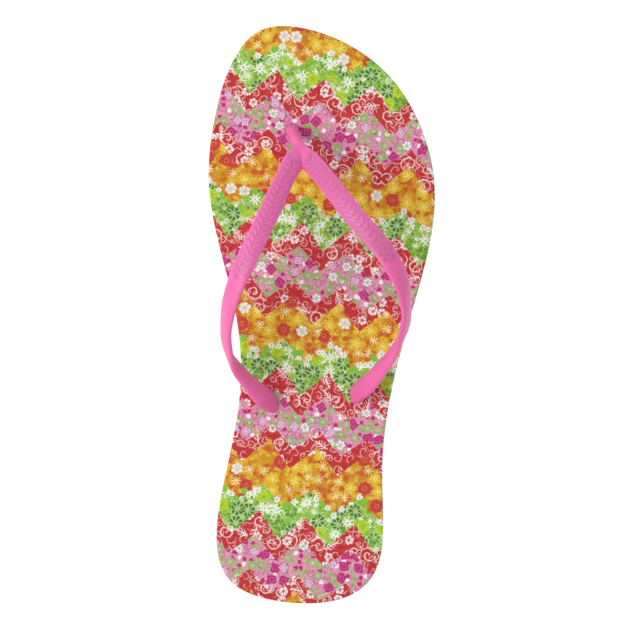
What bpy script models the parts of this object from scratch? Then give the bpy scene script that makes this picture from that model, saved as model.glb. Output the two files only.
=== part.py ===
"""Right flip-flop: a moulded outsole, a laminated footbed and a one-piece thong strap.

World frame, in metres: +Z up, +Y from heel to toe, +X to the outer (little-toe) side.
The origin is on the ground, below the middle of the sole's box.
"""

import math

import bpy
import bmesh
import numpy as np
from mathutils import Vector

MM = 0.001

# ---------------------------------------------------------------- driving sizes, mm
LENGTH = 255.0             # heel tip to toe tip
GAP = 0.3                  # clearance where two pieces meet
FOOTBED_THICKNESS = 4.0
EDGE_ROUND = 0.9           # radius of the footbed's and the outsole's outer edges
SEAM_CHAMFER = 0.3         # along the edges where footbed and outsole meet

HEEL_LIFT = 1.2            # bevel under the back of the heel
HEEL_BREAK = 0.06          # share of the length where the heel bevel ends
WAIST = (0.40, 0.53)       # share of the length that the hollow under the arch covers
ARCH_RISE = 1.2
TOE_BREAK = 0.80           # share of the length where the toe starts to lift
TOE_SPRING = 4.5

STEM_RADIUS = 3.0          # the strap's stems inside the sole
STEM_HEAD = 0.8            # how far a stem runs up into the arm or post above the footbed
HOLE_RADIUS = STEM_RADIUS + GAP
PLUG_RADIUS = 8.0          # the discs under the sole that hold the stems
PLUG_THICKNESS = 2.6
PLUG_CHAMFER = 0.4
PLUG_CLEARANCE = 0.5       # between a disc and the wall of its pocket
PLUG_RECESS = 4.4          # depth of the pockets for the discs
PLUG_FLOOR = PLUG_RECESS - GAP - PLUG_THICKNESS
CUT_PAST = 2.0             # how far a cutter runs past the faces that it opens

TREAD_WIDTH = 2.2
TREAD_DEPTH = 1.2
TREAD_BORDER = 7.0         # plain rim left inside the outline
TREAD_FIELDS = ((0.055, 0.285, 7), (0.545, 0.945, 12))   # start, end, grooves
TREAD_WAVE = 2.2           # half height of a groove's zigzag
TREAD_TOOTH = 11.0         # length of one half wave

OUTLINE_POINTS = 96

# Outline, a row for each cross-section: share of the length from the heel,
# inner (big-toe) edge and outer edge, mm from the middle.
OUTLINE = (
    # along   inner   outer
    (0.00,    -6.7,   -6.7),
    (0.02,   -33.6,   15.2),
    (0.07,   -45.0,   25.0),
    (0.15,   -46.0,   27.0),
    (0.26,   -40.6,   26.9),
    (0.38,   -36.0,   31.4),
    (0.50,   -38.1,   39.4),
    (0.62,   -45.5,   47.5),
    (0.73,   -50.1,   49.7),
    (0.83,   -48.0,   43.2),
    (0.91,   -42.7,   30.6),
    (0.97,   -34.4,   10.6),
    (1.00,   -17.4,  -17.4),
)

# Thickness of outsole and footbed together, mm.
THICKNESS = (
    # along  thickness
    (0.00,   20.0),
    (0.15,   20.0),
    (0.30,   18.6),
    (0.45,   15.8),
    (0.60,   14.2),
    (0.80,   13.4),
    (1.00,   12.4),
)

# Holes for the stems, mm: place across and along.
TOE_HOLE = (-13.2, 81.3)
INNER_HOLE = (-22.4, -38.6)
OUTER_HOLE = (15.3, -34.6)
HOLES = (("toe", TOE_HOLE), ("inner", INNER_HOLE), ("outer", OUTER_HOLE))

# Arms of the strap, from the Y joint back to the hole. x and y in mm, rise is the height
# of the middle line above the footbed, roll is the turn of the patterned face from
# facing up (0) through facing outwards (90) to facing the ground.
INNER_ARM = (
    # x       y      rise   width  thick  roll
    (-11.2,   76.4,  14.6,   4.4,   4.4,    0),
    (-10.2,   73.3,  18.6,   5.4,   4.4,   -2),
    (-11.3,   69.4,  21.8,   8.3,   4.0,   -4),
    (-14.7,   62.9,  27.3,   9.1,   4.0,   -5),
    (-21.1,   48.8,  36.8,   9.2,   4.0,   -3),
    (-27.9,   34.6,  41.4,   9.3,   4.0,    7),
    (-35.0,   20.6,  41.2,   9.3,   3.8,   25),
    (-38.1,   13.5,  39.4,   9.4,   3.6,   40),
    (-40.6,    6.4,  36.7,   9.6,   3.4,   53),
    (-42.1,   -0.7,  33.3,   9.7,   3.4,   63),
    (-42.5,   -7.7,  29.4,   9.8,   3.4,   71),
    (-41.5,  -14.8,  24.9,   9.9,   3.4,   77),
    (-38.6,  -22.0,  19.7,  10.1,   3.6,  108),
    (-32.9,  -29.3,  13.4,  10.3,   4.3,  122),
    (-27.2,  -35.3,   7.3,  10.5,   5.4,  137),
)
OUTER_ARM = (
    # x       y      rise   width  thick  roll
    (-11.2,   76.6,  14.6,   4.4,   4.4,    0),
    (-9.7,    73.4,  18.6,   5.4,   4.4,   -3),
    (-7.1,    69.4,  21.8,   8.4,   4.0,   -9),
    (-1.3,    62.8,  27.2,   9.4,   4.0,  -13),
    (9.7,     48.6,  36.4,   9.4,   4.0,  -13),
    (21.4,    34.6,  40.6,   9.3,   4.0,   -2),
    (27.3,    27.5,  40.8,   9.3,   3.9,   12),
    (31.6,    20.5,  39.9,   9.3,   3.8,   29),
    (34.9,    13.5,  37.9,   9.4,   3.6,   45),
    (36.5,     6.4,  35.1,   9.5,   3.4,   61),
    (36.9,    -0.7,  31.6,   9.6,   3.4,   72),
    (35.5,    -7.8,  27.4,   9.7,   3.4,   76),
    (32.4,   -15.1,  22.3,   9.9,   3.6,  106),
    (27.2,   -22.6,  16.1,  10.1,   4.2,  118),
    (20.3,   -30.6,   8.9,  10.4,   4.9,  134),
)
ARM_RINGS = 34
ARM_SIDES = 14
ARM_SQUARENESS = 0.38      # 1 is an ellipse, lower is a squarer band
ARM_CROWN = 0.5            # how much thinner the band is along its edges, as a share
FOOT_SQUARENESS = (0.78, 0.88, 0.95)   # the last two rows of an arm, and its foot
FOOT_WIDTH = 9.8           # the arm's foot, where it stands on the footbed
FOOT_THICKNESS = 6.8
FOOT_RUN = 8.0             # straight last stretch of an arm
FOOT_ROUND = 1.2           # height of the foot's rounded lower edge

POST_SIDES = 16
POST_PATH = (
    # back   rise   radius: back is the distance from the hole towards the heel
    (0.0,    0.4,   2.9),
    (0.1,    1.6,   2.8),
    (0.9,    5.5,   2.7),
    (2.9,   10.0,   2.6),
    (5.8,   14.0,   2.6),
    (8.6,   17.4,   2.6),
    (10.8,  19.4,   2.5),
    (12.4,  20.6,   2.0),
    (13.1,  21.1,   1.0),
)


# ---------------------------------------------------------------- curves
def spline(knots, values, at, period=None):
    """Smooth curve through values at knots: natural ends, or closed when it has a period."""
    knots, values = np.asarray(knots, float), np.asarray(values, float)
    if period:
        knots = np.append(knots, knots[0] + period)
        values = np.append(values, values[0])
    spans = np.diff(knots)
    slopes = np.diff(values) / spans
    count = len(knots)
    system, target = np.zeros((count, count)), np.zeros(count)
    for i in range(1, count - 1):
        system[i, i - 1:i + 2] = spans[i - 1], 2 * (spans[i - 1] + spans[i]), spans[i]
        target[i] = 6 * (slopes[i] - slopes[i - 1])
    system[0, 0] = 1
    system[-1, -1] = 1
    if period:
        system[0, -1] = -1
        system[-1, -2:] = spans[-1], 2 * (spans[-1] + spans[0])
        system[-1, 1] = spans[0]
        target[-1] = 6 * (slopes[0] - slopes[-1])
    bends = np.linalg.solve(system, target)
    at = np.asarray(at, float)
    i = np.clip(np.searchsorted(knots, at, side="right") - 1, 0, count - 2)
    after = (at - knots[i]) / spans[i]
    before = 1 - after
    cubic = (before**3 - before) * bends[i] + (after**3 - after) * bends[i + 1]
    return before * values[i] + after * values[i + 1] + cubic * spans[i]**2 / 6


def outline(theta):
    """Outline point, mm, from angle 0 at the heel tip, along the outer edge, to pi at the toe."""
    shares, inner, outer = np.array(OUTLINE).T
    angles = np.arccos(1 - 2 * shares)
    knots = np.concatenate([angles, 2 * math.pi - angles[-2:0:-1]])
    across = np.concatenate([outer, inner[-2:0:-1]])
    x = spline(knots, across, np.asarray(theta) % (2 * math.pi), period=2 * math.pi)
    y = -LENGTH / 2 * np.cos(theta)
    return np.stack([x, y], axis=-1)


def along(y):
    """Share of the length, from 0 at the heel to 1 at the toe."""
    return min(max(y / LENGTH + 0.5, 0.0), 1.0)


def ground(y):
    """Height of the sole's underside, mm: flat under heel and forefoot."""
    share = along(y)
    heel = max(0.0, 1 - share / HEEL_BREAK)
    waist = min(max((share - WAIST[0]) / (WAIST[1] - WAIST[0]), 0.0), 1.0)
    toe = max(0.0, (share - TOE_BREAK) / (1 - TOE_BREAK))
    return HEEL_LIFT * heel**2 + ARCH_RISE * math.sin(math.pi * waist)**2 + TOE_SPRING * toe**2


def top(y):
    """Height of the footbed's upper face, mm."""
    share = along(y)
    toe = max(0.0, (share - TOE_BREAK) / (1 - TOE_BREAK))
    shares, thickness = np.array(THICKNESS).T
    return float(spline(shares, thickness, share)) + TOE_SPRING * toe**2


def inset_loop(inset):
    """The outline moved inwards by inset, mm, as OUTLINE_POINTS points."""
    theta = np.arange(OUTLINE_POINTS) * 2 * math.pi / OUTLINE_POINTS
    step = 1e-4
    run = outline(theta + step) - outline(theta - step)
    run /= np.linalg.norm(run, axis=1)[:, None]
    inward = np.stack([-run[:, 1], run[:, 0]], axis=1)
    return outline(theta) + inset * inward


def edges_at(y):
    """Inner and outer edge of the outline at y, mm."""
    theta = math.acos(-2 * y / LENGTH)
    return float(outline(2 * math.pi - theta)[0]), float(outline(theta)[0])


# ---------------------------------------------------------------- meshes
def material(name, hex_colour, roughness):
    """A plain non-metallic Principled material."""
    def linear(level):
        return level / 12.92 if level <= 0.04045 else ((level + 0.055) / 1.055)**2.4

    made = bpy.data.materials.new(name)
    made.use_nodes = True
    levels = [int(hex_colour[i:i + 2], 16) / 255 for i in (0, 2, 4)]
    shader = made.node_tree.nodes["Principled BSDF"]
    shader.inputs["Base Color"].default_value = (*map(linear, levels), 1)
    shader.inputs["Roughness"].default_value = roughness
    shader.inputs["Metallic"].default_value = 0.0
    return made


def add_object(name, bm, finish=None):
    """Turn a bmesh in mm into an object in metres."""
    bmesh.ops.scale(bm, vec=(MM, MM, MM), verts=bm.verts)
    bmesh.ops.recalc_face_normals(bm, faces=bm.faces)
    mesh = bpy.data.meshes.new(name)
    bm.to_mesh(mesh)
    bm.free()
    made = bpy.data.objects.new(name, mesh)
    bpy.context.collection.objects.link(made)
    if finish:
        mesh.materials.append(finish)
    return made


def add_rings(bm, rings, cap="fan"):
    """Skin a closed tube through rings of equally many points, with both ends capped."""
    loops = [[bm.verts.new(point) for point in ring] for ring in rings]
    count = len(loops[0])
    for low, high in zip(loops, loops[1:]):
        for i in range(count):
            j = (i + 1) % count
            bm.faces.new((low[i], low[j], high[j], high[i]))
    for loop in (loops[0], loops[-1]):
        if cap == "fan":
            bm.faces.new(loop)
            continue
        for i in range(count // 2):
            corners = [loop[i], loop[i + 1], loop[count - i - 1], loop[-i]]
            bm.faces.new(list(dict.fromkeys(corners)))


def sole_slab(name, levels, finish):
    """A slab with the sole's outline. Each level is an inset and a height rule."""
    bm = bmesh.new()
    rings = []
    for inset, height in levels:
        rings.append([(x, y, height(y)) for x, y in inset_loop(inset)])
    add_rings(bm, rings, cap="across")
    return add_object(name, bm, finish)


def disc_rings(centre, radii_and_heights, sides):
    """Level rings of a turned piece."""
    turns = [2 * math.pi * i / sides for i in range(sides)]
    return [[(centre[0] + r * math.cos(t), centre[1] + r * math.sin(t), z) for t in turns]
            for r, z in radii_and_heights]


def turned(name, centre, radii_and_heights, sides=24):
    """A turned piece, used as a cutter or as a part of the strap."""
    bm = bmesh.new()
    add_rings(bm, disc_rings(centre, radii_and_heights, sides))
    return add_object(name, bm)


def combine(target, tool, operation):
    """Boolean with the exact solver. The tool stays out of the model."""
    step = target.modifiers.new(f"{operation.lower()} {tool.name}", "BOOLEAN")
    step.operation = operation
    step.solver = "EXACT"
    step.object = tool
    tool.hide_render = True
    tool.hide_viewport = True
    tool.display_type = "WIRE"


def shade(made, degrees):
    """Smooth shading that breaks at sharp edges."""
    made.data.shade_smooth()
    made.data.set_sharp_from_angle(angle=math.radians(degrees))


# ---------------------------------------------------------------- sole
def seam(y):
    """Height of the face that the footbed lies on."""
    return top(y) - FOOTBED_THICKNESS - GAP


def make_outsole(finish):
    outsole = sole_slab("outsole", (
        (EDGE_ROUND, ground),
        (0.3 * EDGE_ROUND, lambda y: ground(y) + 0.3 * EDGE_ROUND),
        (0.0, lambda y: ground(y) + EDGE_ROUND),
        (0.0, lambda y: seam(y) - SEAM_CHAMFER),
        (SEAM_CHAMFER, seam),
    ), finish)
    pocket = PLUG_RADIUS + PLUG_CLEARANCE
    for label, hole in HOLES:
        floor = ground(hole[1])
        profile = ((pocket, floor - CUT_PAST), (pocket, floor + PLUG_RECESS),
                   (HOLE_RADIUS, floor + PLUG_RECESS), (HOLE_RADIUS, top(hole[1]) + CUT_PAST))
        combine(outsole, turned(f"cut_{label}", hole, profile), "DIFFERENCE")
    combine(outsole, make_tread_cutter(), "DIFFERENCE")
    return outsole


def tread_spans(y):
    """Stretches of a groove at y that keep clear of the rim and of the plug pockets."""
    inner, outer = edges_at(y)
    spans = [(inner + TREAD_BORDER, outer - TREAD_BORDER)]
    reach = PLUG_RADIUS + TREAD_WAVE + TREAD_WIDTH
    for _, (x, y_hole) in HOLES:
        if abs(y - y_hole) < reach:
            spans = [part for low, high in spans
                     for part in ((low, min(high, x - reach)), (max(low, x + reach), high))]
    return [(low, high) for low, high in spans if high - low > TREAD_TOOTH]


def groove_rings(low, high, y_middle):
    """Square-section zigzag bar across the sole, through the underside."""
    teeth = max(1, round((high - low) / TREAD_TOOTH))
    points = []
    for i in range(teeth + 1):
        points.append((low + (high - low) * i / teeth,
                       y_middle + TREAD_WAVE * (1 if i % 2 else -1)))
    half = TREAD_WIDTH / 2
    rings = []
    for x, y in points:
        roof = ground(y) + TREAD_DEPTH
        rings.append([(x, y - half, -CUT_PAST), (x, y + half, -CUT_PAST),
                      (x, y + half, roof), (x, y - half, roof)])
    return rings


def make_tread_cutter():
    """All grooves of both tread fields."""
    bm = bmesh.new()
    for start, end, count in TREAD_FIELDS:
        for i in range(count):
            y = LENGTH * (start + (end - start) * i / (count - 1) - 0.5)
            for low, high in tread_spans(y):
                add_rings(bm, groove_rings(low, high, y))
    return add_object("cut_tread", bm)


def make_footbed(finish):
    def base(y):
        return top(y) - FOOTBED_THICKNESS

    footbed = sole_slab("footbed", (
        (SEAM_CHAMFER, base),
        (0.0, lambda y: base(y) + SEAM_CHAMFER),
        (0.0, lambda y: top(y) - EDGE_ROUND),
        (0.3 * EDGE_ROUND, lambda y: top(y) - 0.3 * EDGE_ROUND),
        (EDGE_ROUND, top),
    ), finish)
    for label, hole in HOLES:
        profile = ((HOLE_RADIUS, 0.0), (HOLE_RADIUS, top(hole[1]) + CUT_PAST))
        combine(footbed, turned(f"pierce_{label}", hole, profile), "DIFFERENCE")
    return footbed


# ---------------------------------------------------------------- strap
def band_ring(centre, width_way, face_way, width, thick, squareness):
    """A band's cross-section: a squarish oval."""
    crown = ARM_CROWN * (1 - squareness) / (1 - ARM_SQUARENESS)
    ring = []
    for i in range(ARM_SIDES):
        turn = 2 * math.pi * i / ARM_SIDES
        across, lift = [math.copysign(abs(value)**squareness, value)
                        for value in (math.cos(turn), math.sin(turn))]
        lift *= 1 - crown * across**2
        ring.append(centre + width_way * (width / 2 * across) + face_way * (thick / 2 * lift))
    return ring


def arm_rings(rows, hole, outward):
    """Rings of one arm. outward is -1 for the inner arm and 1 for the outer arm."""
    table = [(x, y, top(y) + rise, width, thick, roll) for x, y, rise, width, thick, roll in rows]
    table.append((*hole, top(hole[1]), FOOT_WIDTH, FOOT_THICKNESS, rows[-1][-1]))
    squareness = [ARM_SQUARENESS] * (len(rows) - 2) + list(FOOT_SQUARENESS)
    table = np.column_stack([np.array(table, float), squareness])
    run = np.linalg.norm(np.diff(table[:, :3], axis=0), axis=1)
    knots = np.concatenate([[0], np.cumsum(run)])
    stations = np.linspace(0, knots[-1] - FOOT_RUN, ARM_RINGS)
    columns = [spline(knots, column, stations) for column in table.T]
    middle = np.stack(columns[:3], axis=1)
    tangents = np.gradient(middle, stations, axis=0)
    rings = []
    for point, tangent, width, thick, roll, square in zip(middle, tangents, *columns[3:]):
        tangent = Vector(tangent).normalized()
        plan = Vector((tangent.x, tangent.y, 0)).normalized()
        out = plan.cross(Vector((0, 0, 1))) * -outward
        up = out.cross(tangent) * -outward
        turn = math.radians(roll)
        face = up * math.cos(turn) + out * math.sin(turn)
        rings.append(band_ring(Vector(point), face.cross(tangent), face, width, thick, square))
    return rings + foot_rings(rings[-1], Vector(middle[-1]), hole)


def foot_rings(last_ring, last_point, hole):
    """The arm's straight end, cut level with the footbed and slightly drawn in."""
    base = Vector((*hole, top(hole[1])))
    down = (base - last_point).normalized()
    rings = []
    for height, share in ((FOOT_ROUND, 1.0), (GAP, 0.92)):
        ring = []
        for corner in last_ring:
            point = base + (corner - last_point) * share
            slide = (top(point.y) + height - point.z) / down.z
            point += down * slide
            point.z = top(point.y) + height
            ring.append(point)
        rings.append(ring)
    return rings


def post_rings():
    """The toe post, leaning back from its hole to the Y joint, with a round end."""
    hole = Vector((*TOE_HOLE, 0))
    back_way = (Vector((*INNER_ARM[0][:2], 0)) - hole).normalized()
    side = Vector((0, 0, 1)).cross(back_way)
    path = [hole + back_way * back + Vector((0, 0, top(TOE_HOLE[1]) + rise))
            for back, rise, _ in POST_PATH]
    rings = []
    for i, (point, row) in enumerate(zip(path, POST_PATH)):
        ahead, behind = path[min(i + 1, len(path) - 1)], path[max(i - 1, 0)]
        tangent = (ahead - behind).normalized() if i else Vector((0, 0, 1))
        front = side.cross(tangent)
        rings.append([point + side * row[2] * math.cos(turn) + front * row[2] * math.sin(turn)
                      for turn in (2 * math.pi * k / POST_SIDES for k in range(POST_SIDES))])
    return rings


def make_strap(finish):
    """Arms, post, stems and plugs as one moulding."""
    bm = bmesh.new()
    add_rings(bm, post_rings())
    strap = add_object("strap", bm, finish)
    for label, rows, hole, outward in (("inner", INNER_ARM, INNER_HOLE, -1),
                                       ("outer", OUTER_ARM, OUTER_HOLE, 1)):
        bm = bmesh.new()
        add_rings(bm, arm_rings(rows, hole, outward))
        combine(strap, add_object(f"arm_{label}", bm), "UNION")
    for label, hole in HOLES:
        low = ground(hole[1]) + PLUG_FLOOR
        profile = ((PLUG_RADIUS - PLUG_CHAMFER, low), (PLUG_RADIUS, low + PLUG_CHAMFER),
                   (PLUG_RADIUS, low + PLUG_THICKNESS), (STEM_RADIUS, low + PLUG_THICKNESS),
                   (STEM_RADIUS, top(hole[1]) + STEM_HEAD))
        combine(strap, turned(f"stem_{label}", hole, profile, sides=20), "UNION")
    return strap


# ---------------------------------------------------------------- model
for leftover in list(bpy.data.objects):
    bpy.data.objects.remove(leftover, do_unlink=True)

shade(make_outsole(material("off_white_rubber", "E9E6E0", 0.75)), 35)
shade(make_footbed(material("printed_footbed", "E0702F", 0.80)), 35)
shade(make_strap(material("pink_strap_rubber", "EC70B1", 0.55)), 35)
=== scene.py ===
# %% [markdown]
# # A right flip-flop: rubber outsole, printed footbed and a one-piece thong strap
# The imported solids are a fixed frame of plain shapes. Each of them is replaced here by a
# smoother piece of the same size in the same place, and the pieces get their finishes.

# %% Load the frame
import math

import bmesh
import bpy
import numpy as np
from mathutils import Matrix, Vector


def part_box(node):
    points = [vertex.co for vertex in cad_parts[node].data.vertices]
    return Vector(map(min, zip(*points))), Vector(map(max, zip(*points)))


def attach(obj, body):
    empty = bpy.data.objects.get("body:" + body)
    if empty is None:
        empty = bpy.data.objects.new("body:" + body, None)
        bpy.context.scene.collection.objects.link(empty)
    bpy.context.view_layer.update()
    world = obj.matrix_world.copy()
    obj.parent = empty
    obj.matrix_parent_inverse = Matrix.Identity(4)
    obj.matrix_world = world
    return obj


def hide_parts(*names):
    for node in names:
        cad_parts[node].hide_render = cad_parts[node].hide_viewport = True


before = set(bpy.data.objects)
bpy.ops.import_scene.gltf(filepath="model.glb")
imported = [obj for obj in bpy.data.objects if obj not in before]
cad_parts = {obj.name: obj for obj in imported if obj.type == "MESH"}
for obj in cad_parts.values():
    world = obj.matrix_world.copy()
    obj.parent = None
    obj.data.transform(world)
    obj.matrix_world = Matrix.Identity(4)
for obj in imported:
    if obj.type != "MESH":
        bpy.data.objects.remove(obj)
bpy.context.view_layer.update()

MM = 0.001

# %% [markdown]
# ## The view
# The sandal is seen from straight above, as a maker lays it on a table for a catalogue.
# A long lens from far away keeps the high strap from leaning outwards, so the outline and
# the strap can be compared with the measured plan. The toe points up in the picture.

# %% Camera
VIEW_WIDTH = 284.1 * MM      # what the square picture covers at the footbed's height
VIEW_CENTRE_Y = -3.3 * MM    # the sandal lies slightly above the picture's middle
CAMERA_HEIGHT = 3.0
SENSOR = 36.0

footbed_low, footbed_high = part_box("footbed")
lens = bpy.data.cameras.new("overhead")
lens.sensor_width = SENSOR
lens.lens = SENSOR * (CAMERA_HEIGHT - footbed_high.z) / VIEW_WIDTH
lens.clip_end = 20.0
camera = bpy.data.objects.new("overhead", lens)
camera.location = (0, VIEW_CENTRE_Y, CAMERA_HEIGHT)
bpy.context.collection.objects.link(camera)
bpy.context.scene.camera = camera
print("lens", round(lens.lens, 1), "mm")

# %% [markdown]
# ## Colours and nodes
# Colours are given as sRGB hex values, as a paint chart gives them, and turned to the
# linear values that a renderer adds up. One function adds any node: it sets the node's
# own settings and fills or links its sockets, which keeps long trees readable.


# %% Helpers for colours and nodes
def linear(hex_colour):
    """sRGB hex to linear RGBA."""
    levels = [int(hex_colour[i:i + 2], 16) / 255 for i in (0, 2, 4)]
    return (*[v / 12.92 if v <= 0.04045 else ((v + 0.055) / 1.055)**2.4 for v in levels], 1.0)


def add(tree, kind, sockets=None, **settings):
    """Add a node. Sockets maps an input's name or number to a value, a socket or a node."""
    made = tree.nodes.new(kind)
    for name, value in settings.items():
        setattr(made, name, value)
    for slot, value in (sockets or {}).items():
        if isinstance(value, bpy.types.Node):
            value = value.outputs[0]
        if isinstance(value, bpy.types.NodeSocket):
            tree.links.new(value, made.inputs[slot])
        else:
            made.inputs[slot].default_value = value
    return made


def new_group(name, kind, inputs, outputs):
    """An empty node group with named sockets. Returns the tree and its input node."""
    tree = bpy.data.node_groups.new(name, kind)
    for label, (socket_type, value) in inputs.items():
        socket = tree.interface.new_socket(label, in_out="INPUT", socket_type=socket_type)
        if value is not None:
            socket.default_value = value
    for label, socket_type in outputs.items():
        tree.interface.new_socket(label, in_out="OUTPUT", socket_type=socket_type)
    return tree, tree.nodes.new("NodeGroupInput").outputs


def new_material(name, roughness, specular=0.5):
    """A Principled material. Returns it with its tree, shader and millimetre coordinates."""
    made = bpy.data.materials.new(name)
    made.use_nodes = True
    tree = made.node_tree
    shader = tree.nodes["Principled BSDF"]
    shader.inputs["Roughness"].default_value = roughness
    shader.inputs["Specular IOR Level"].default_value = specular
    place = add(tree, "ShaderNodeTexCoord").outputs["Object"]
    in_mm = add(tree, "ShaderNodeVectorMath", {0: place, "Scale": 1 / MM}, operation="SCALE")
    return made, tree, shader, in_mm.outputs[0]


FLOAT, VECTOR = "NodeSocketFloat", "NodeSocketVector"
GEOMETRY, MATERIAL = "NodeSocketGeometry", "NodeSocketMaterial"
MATH = "ShaderNodeMath"
MIX = "ShaderNodeMix"
MIXED_COLOUR = 2             # a colour Mix node's output
COLOUR_A, COLOUR_B = 6, 7    # and its two inputs

# %% [markdown]
# ## Light and floor
# A wide soft light stands on the left, so the strap throws its soft shadow to the right. A
# pale sky fills the shadows. The floor is a light table: it glows white by itself, so it
# stays plain, and the studio needs no stronger light that would bleach the colours.

# %% Light and floor
KEY_PLACE = Vector((-0.95, 0.14, 1.15))    # metres, as for all of the studio
KEY_SIZE = 0.9
KEY_POWER = 12.5
SKY_STRENGTH = 0.67
FLOOR_SIZE = 3.0
FLOOR_DROP = 0.05 * MM       # keeps the floor and the sole's flat faces apart
FLOOR_GLOW = 1.0

key = bpy.data.lights.new("soft_key", "AREA")
key.energy = KEY_POWER
key.size = KEY_SIZE
key_lamp = bpy.data.objects.new("soft_key", key)
key_lamp.location = KEY_PLACE
key_lamp.rotation_euler = (-KEY_PLACE).to_track_quat("-Z", "Y").to_euler()
bpy.context.collection.objects.link(key_lamp)

world = bpy.context.scene.world or bpy.data.worlds.new("studio")
bpy.context.scene.world = world
world.use_nodes = True
sky = world.node_tree.nodes["Background"]
sky.inputs["Color"].default_value = linear("FFFFFF")
sky.inputs["Strength"].default_value = SKY_STRENGTH

floor_mesh = bpy.data.meshes.new("floor")
corners = [(-FLOOR_SIZE, -FLOOR_SIZE), (FLOOR_SIZE, -FLOOR_SIZE),
           (FLOOR_SIZE, FLOOR_SIZE), (-FLOOR_SIZE, FLOOR_SIZE)]
floor_mesh.from_pydata([(x, y, -FLOOR_DROP) for x, y in corners], [], [(0, 1, 2, 3)])
floor = bpy.data.objects.new("floor", floor_mesh)
bpy.context.collection.objects.link(floor)
# Opal acrylic, sanded and lit from below: an even white without sheen. Its grey base colour
# leaves most of that white to the lamps under it.
light_table, tree, shader, _ = new_material("sanded_opal_acrylic", 0.9, 0.2)
shader.inputs["Base Color"].default_value = linear("595959")
shader.inputs["Emission Color"].default_value = linear("FFFFFF")
shader.inputs["Emission Strength"].default_value = FLOOR_GLOW
floor_mesh.materials.append(light_table)
bpy.context.scene.view_settings.view_transform = "Standard"
print("key light", KEY_POWER, "W,", KEY_SIZE, "m wide, sky", SKY_STRENGTH)

# %% [markdown]
# ## The sole's shape
# A last maker gives a sole as widths at stations along its length, and a thickness at
# each of them. A smooth closed curve runs through the widths. The same short tables made
# the solids, so the smoother pieces here have the same outline with more points on it.

# %% The sole's tables and curves
# All sizes of the sandal are in mm, and finish_mesh turns them to metres.
LENGTH = round((footbed_high.y - footbed_low.y) / MM, 1)
GAP = 0.3
FOOTBED_THICKNESS = 4.0
EDGE_ROUND = 0.9
SEAM_CHAMFER = 0.3
HEEL_LIFT, HEEL_BREAK = 1.2, 0.06
WAIST, ARCH_RISE = (0.40, 0.53), 1.2
TOE_BREAK, TOE_SPRING = 0.80, 4.5
LOOP_POINTS = 480

OUTLINE = np.array((
    # along   inner   outer edge, mm
    (0.00,    -6.7,   -6.7),
    (0.02,   -33.6,   15.2),
    (0.07,   -45.0,   25.0),
    (0.15,   -46.0,   27.0),
    (0.26,   -40.6,   26.9),
    (0.38,   -36.0,   31.4),
    (0.50,   -38.1,   39.4),
    (0.62,   -45.5,   47.5),
    (0.73,   -50.1,   49.7),
    (0.83,   -48.0,   43.2),
    (0.91,   -42.7,   30.6),
    (0.97,   -34.4,   10.6),
    (1.00,   -17.4,  -17.4),
))
THICKNESS = np.array((
    # along  outsole and footbed together, mm
    (0.00,   20.0),
    (0.15,   20.0),
    (0.30,   18.6),
    (0.45,   15.8),
    (0.60,   14.2),
    (0.80,   13.4),
    (1.00,   12.4),
))


def spline(knots, values, at, period=None):
    """Smooth curve through values at knots: natural ends, or closed when it has a period."""
    knots, values = np.asarray(knots, float), np.asarray(values, float)
    if period:
        knots = np.append(knots, knots[0] + period)
        values = np.append(values, values[0])
    spans = np.diff(knots)
    slopes = np.diff(values) / spans
    count = len(knots)
    system, target = np.zeros((count, count)), np.zeros(count)
    for i in range(1, count - 1):
        system[i, i - 1:i + 2] = spans[i - 1], 2 * (spans[i - 1] + spans[i]), spans[i]
        target[i] = 6 * (slopes[i] - slopes[i - 1])
    system[0, 0] = 1
    system[-1, -1] = 1
    if period:
        system[0, -1] = -1
        system[-1, -2:] = spans[-1], 2 * (spans[-1] + spans[0])
        system[-1, 1] = spans[0]
        target[-1] = 6 * (slopes[0] - slopes[-1])
    bends = np.linalg.solve(system, target)
    at = np.asarray(at, float)
    i = np.clip(np.searchsorted(knots, at, side="right") - 1, 0, count - 2)
    after = (at - knots[i]) / spans[i]
    before = 1 - after
    cubic = (before**3 - before) * bends[i] + (after**3 - after) * bends[i + 1]
    return before * values[i] + after * values[i + 1] + cubic * spans[i]**2 / 6


def outline(theta):
    """Outline point, mm, from angle 0 at the heel tip, along the outer edge, to pi at the toe."""
    shares, inner, outer = OUTLINE.T
    angles = np.arccos(1 - 2 * shares)
    knots = np.concatenate([angles, 2 * math.pi - angles[-2:0:-1]])
    across = np.concatenate([outer, inner[-2:0:-1]])
    x = spline(knots, across, np.asarray(theta) % (2 * math.pi), period=2 * math.pi)
    return np.stack([x, -LENGTH / 2 * np.cos(theta)], axis=-1)


def inset_loop(inset):
    """The outline moved inwards by inset, mm."""
    theta = np.arange(LOOP_POINTS) * 2 * math.pi / LOOP_POINTS
    step = 1e-4
    run = outline(theta + step) - outline(theta - step)
    run /= np.linalg.norm(run, axis=1)[:, None]
    return outline(theta) + inset * np.stack([-run[:, 1], run[:, 0]], axis=1)


def edges_at(y):
    """Inner and outer edge of the outline at y, mm."""
    theta = math.acos(-2 * y / LENGTH)
    return float(outline(2 * math.pi - theta)[0]), float(outline(theta)[0])


def ground(y):
    """Height of the sole's underside, mm: flat under heel and forefoot."""
    share = np.clip(np.asarray(y) / LENGTH + 0.5, 0, 1)
    heel = np.maximum(0, 1 - share / HEEL_BREAK)
    waist = np.clip((share - WAIST[0]) / (WAIST[1] - WAIST[0]), 0, 1)
    toe = np.maximum(0, (share - TOE_BREAK) / (1 - TOE_BREAK))
    return HEEL_LIFT * heel**2 + ARCH_RISE * np.sin(math.pi * waist)**2 + TOE_SPRING * toe**2


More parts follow.
